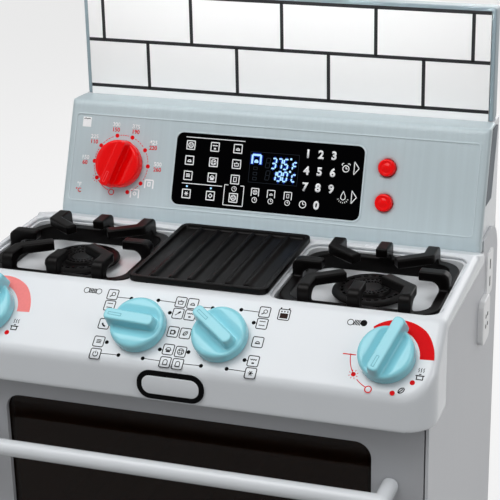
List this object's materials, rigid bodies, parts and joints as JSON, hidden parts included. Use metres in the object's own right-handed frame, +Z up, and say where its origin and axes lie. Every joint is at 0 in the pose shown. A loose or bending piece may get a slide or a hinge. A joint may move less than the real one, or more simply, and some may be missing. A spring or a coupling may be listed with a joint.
{
  "type": "toy stove",
  "caption": "Toy stove with a hinged oven door, turning knobs, grates, a griddle, a clock console with push buttons and a tiled backsplash.",
  "frame": {"origin": "centre of the footprint of the body, on the surface that the stove stands on", "axes": "+X towards the stove's right side as seen from the front, +Y towards its back, +Z up"},
  "size_m": [0.308, 0.238, 0.4517],
  "materials": {
    "white_shell": "gloss white moulding",
    "side_grey": "fine satin grey",
    "body_grey": "satin pale grey",
    "door_grey": "satin silver grey",
    "dark_frame": "satin charcoal",
    "oven_dark": "satin black",
    "lamp_amber": "translucent warm white",
    "rack_chrome": "silver coated",
    "window_smoke": "clear smoke brown",
    "handle_white": "gloss white",
    "screw_steel": "zinc plated",
    "pin_steel": "bright steel",
    "rubber_dark": "matte rubber",
    "tray_grey": "glossy grey",
    "grate_black": "satin black",
    "knob_aqua": "satin aqua",
    "bush_white": "natural acetal",
    "console_blue": "brushed blue grey",
    "housing_white": "satin white",
    "slate_trim": "satin slate",
    "lens_black": "gloss black with printed symbols",
    "board_green": "coated circuit board",
    "knob_red": "gloss red",
    "pad_grey": "silicone",
    "frame_blue": "satin blue grey",
    "tile_white": "gloss white with black joints",
    "box_black": "fine texture",
    "cell_blue": "printed sleeve",
    "contact_metal": "nickel plated",
    "speaker_grey": "dark coated"
  },
  "bodies": {
    "stove": {"base_tray": "body_grey", "rubber_pads": "rubber_dark", "side_panel_left": "side_grey", "side_panel_right": "side_grey", "back_panel": "body_grey", "kick_panel": "body_grey", "face_frame": "dark_frame", "oven_liner": "oven_dark", "oven_lamp": "lamp_amber", "hinge_pins": "pin_steel", "deck_shell": "white_shell", "burner_tray_left": "tray_grey", "burner_tray_right": "tray_grey", "grate_left": "grate_black", "grate_right": "grate_black", "burner_head_left": "grate_black", "burner_head_right": "grate_black", "burner_cap_left": "grate_black", "burner_cap_right": "grate_black", "griddle": "grate_black", "knob_bushes": "bush_white", "console_front": "console_blue", "console_back": "housing_white", "console_trims": "slate_trim", "display_lens": "lens_black", "display_board": "board_green", "timer_bush": "bush_white", "button_pads": "pad_grey", "backsplash_frame": "frame_blue", "tile_panel": "tile_white", "battery_box": "box_black", "battery_cells": "cell_blue", "battery_contacts": "contact_metal", "battery_door": "body_grey", "battery_screws": "screw_steel", "switch_board": "board_green", "speaker": "speaker_grey", "speaker_pod": "white_shell", "vent_plate": "white_shell", "back_screws": "screw_steel", "side_screws": "screw_steel"},
    "door": {"door_frame": "door_grey", "door_back": "dark_frame", "door_window": "window_smoke", "door_handle": "handle_white", "door_screws": "screw_steel"},
    "rack": {"oven_rack": "rack_chrome"},
    "knob_burner_left": {"burner_knob_left": "knob_aqua"},
    "knob_burner_right": {"burner_knob_right": "knob_aqua"},
    "knob_oven_left": {"oven_knob_left": "knob_aqua"},
    "knob_oven_right": {"oven_knob_right": "knob_aqua"},
    "knob_timer": {"timer_knob": "knob_red"},
    "button_top": {"button_upper": "knob_red"},
    "button_bottom": {"button_lower": "knob_red"},
    "switch": {"power_switch": "box_black"}
  },
  "joints": [
    {"name": "door_hinge", "type": "hinge", "parent": "stove", "child": "door", "pos_m": [0, -0.101, 0.061], "axis": [1, 0, 0], "range_deg": [0, 90]},
    {"name": "rack_slide", "type": "slide", "parent": "stove", "child": "rack", "axis": [0, -1, 0], "range_m": [0, 0.042]},
    {"name": "burner_left_turn", "type": "hinge", "parent": "stove", "child": "knob_burner_left", "pos_m": [-0.1247, -0.10193, 0.28505], "axis": [0, -0.6678, 0.7443], "range_deg": [-312, 0]},
    {"name": "burner_right_turn", "type": "hinge", "parent": "stove", "child": "knob_burner_right", "pos_m": [0.1247, -0.10193, 0.28505], "axis": [0, -0.6678, 0.7443], "range_deg": [-312, 0]},
    {"name": "oven_left_turn", "type": "hinge", "parent": "stove", "child": "knob_oven_left", "pos_m": [-0.0255, -0.10193, 0.28505], "axis": [0, -0.6678, 0.7443], "continuous": true},
    {"name": "oven_right_turn", "type": "hinge", "parent": "stove", "child": "knob_oven_right", "pos_m": [0.0255, -0.10193, 0.28505], "axis": [0, -0.6678, 0.7443], "continuous": true},
    {"name": "timer_turn", "type": "hinge", "parent": "stove", "child": "knob_timer", "pos_m": [-0.107, 0.05085, 0.33547], "axis": [0, -0.9385, 0.3453], "range_deg": [-320, 0]},
    {"name": "button_top_press", "type": "slide", "parent": "stove", "child": "button_top", "axis": [0, 0.9385, -0.3453], "range_m": [0, 0.0018], "stiffness_N_per_m": 400, "springref_m": -0.0015},
    {"name": "button_bottom_press", "type": "slide", "parent": "stove", "child": "button_bottom", "axis": [0, 0.9385, -0.3453], "range_m": [0, 0.0018], "stiffness_N_per_m": 400, "springref_m": -0.0015},
    {"name": "switch_slide", "type": "slide", "parent": "stove", "child": "switch", "axis": [1, 0, 0], "range_m": [0, 0.005]}
  ]
}
